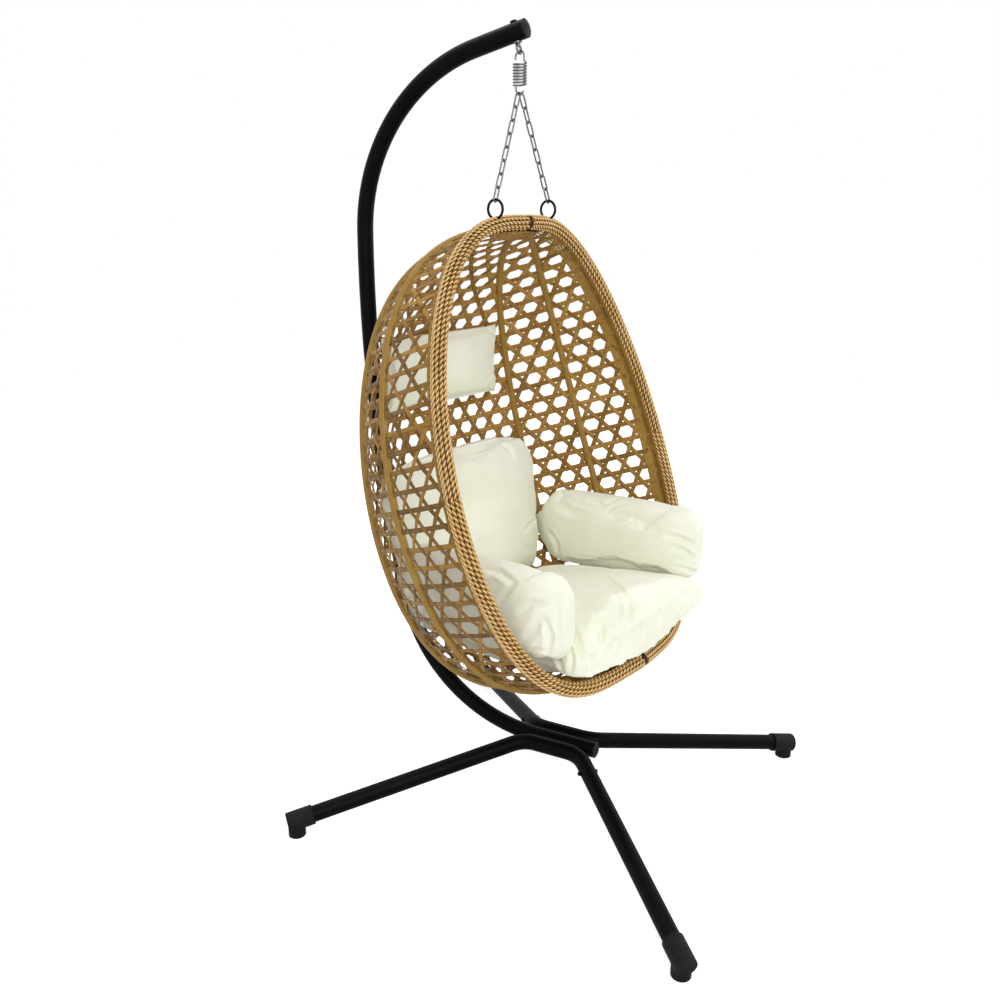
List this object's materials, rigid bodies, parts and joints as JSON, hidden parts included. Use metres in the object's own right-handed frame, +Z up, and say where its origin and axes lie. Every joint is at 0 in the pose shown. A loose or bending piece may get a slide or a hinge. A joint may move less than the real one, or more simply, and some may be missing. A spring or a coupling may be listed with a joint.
{
  "type": "hanging egg chair",
  "caption": "Egg-shaped woven hanging chair with loose cushions, on a spring and chain under a bent tube stand with four splayed legs.",
  "frame": {"origin": "on the floor, under the middle of the stand's outline", "axes": "+Z up, -Y the way the stand's arm reaches and the sitter faces, +X to the sitter's left"},
  "size_m": [1.0388, 1.1373, 1.9497],
  "materials": {
    "black_steel": "satin powder coat",
    "bare_steel": "plain drawn tube",
    "black_plastic": "fine matt moulding",
    "black_rubber": "matt moulded",
    "black_fixing": "black finished steel",
    "zinc": "bright zinc plate",
    "brown_steel": "brown powder coat",
    "rattan": "natural-coloured woven synthetic strand",
    "cream_fabric": "woven polyester cover over a soft filling"
  },
  "bodies": {
    "stand": {"lower_mast": "black_steel", "upper_mast": "black_steel", "mast_joint_sleeve": "bare_steel", "mast_joint_bolts": "black_fixing", "mast_joint_nuts": "black_fixing", "left_leg_socket": "black_steel", "right_leg_socket": "black_steel", "front_left_leg": "black_steel", "front_right_leg": "black_steel", "rear_left_leg": "black_steel", "rear_right_leg": "black_steel", "leg_bolts": "black_fixing", "leg_nuts": "black_fixing", "front_left_boot": "black_rubber", "front_right_boot": "black_rubber", "rear_left_boot": "black_rubber", "rear_right_boot": "black_rubber", "mast_top_cap": "black_plastic", "mast_tail_cap": "black_plastic", "eye_bolt": "zinc", "eye_bolt_washer": "zinc", "eye_bolt_nut": "black_fixing"},
    "spring": {"spring": "zinc"},
    "top_links": {"top_links": "zinc"},
    "chains": {"left_chain": "zinc", "right_chain": "zinc"},
    "basket": {"left_hanging_ring": "black_fixing", "right_hanging_ring": "black_fixing", "top_hub": "black_fixing", "bottom_hub": "black_fixing", "left_rim_tube": "brown_steel", "right_rim_tube": "brown_steel", "left_side_rib": "brown_steel", "right_side_rib": "brown_steel", "left_rear_rib": "brown_steel", "right_rear_rib": "brown_steel", "left_rim_braid": "rattan", "right_rim_braid": "rattan", "left_side_rib_wrap": "rattan", "right_side_rib_wrap": "rattan", "left_rear_rib_wrap": "rattan", "right_rear_rib_wrap": "rattan", "left_side_weave": "rattan", "right_side_weave": "rattan", "left_rear_weave": "rattan", "right_rear_weave": "rattan", "back_weave": "rattan", "seat_cushion": "cream_fabric", "left_arm_cushion": "cream_fabric", "right_arm_cushion": "cream_fabric", "back_cushion": "cream_fabric", "head_pillow": "cream_fabric"}
  },
  "joints": [
    {"name": "swivel", "type": "hinge", "parent": "stand", "child": "spring", "pos_m": [0, 0.0984, 1.8807], "axis": [0, 0, 1], "range_deg": [-20, 35]},
    {"name": "bounce", "type": "slide", "parent": "spring", "child": "top_links", "axis": [0, 0, -1], "range_m": [-0.008, 0.045], "stiffness_N_per_m": 12000, "springref_m": -0.02796, "deforming": ["spring"]},
    {"name": "swing", "type": "hinge", "parent": "top_links", "child": "chains", "pos_m": [-0.00026, 0.09686, 1.76564], "axis": [0.9863, -0.165, 0], "range_deg": [-18, 2]},
    {"name": "tilt", "type": "hinge", "parent": "chains", "child": "basket", "pos_m": [-0.00165, 0.08854, 1.55534], "axis": [0.9863, -0.165, 0], "range_deg": [-10, 2]}
  ]
}
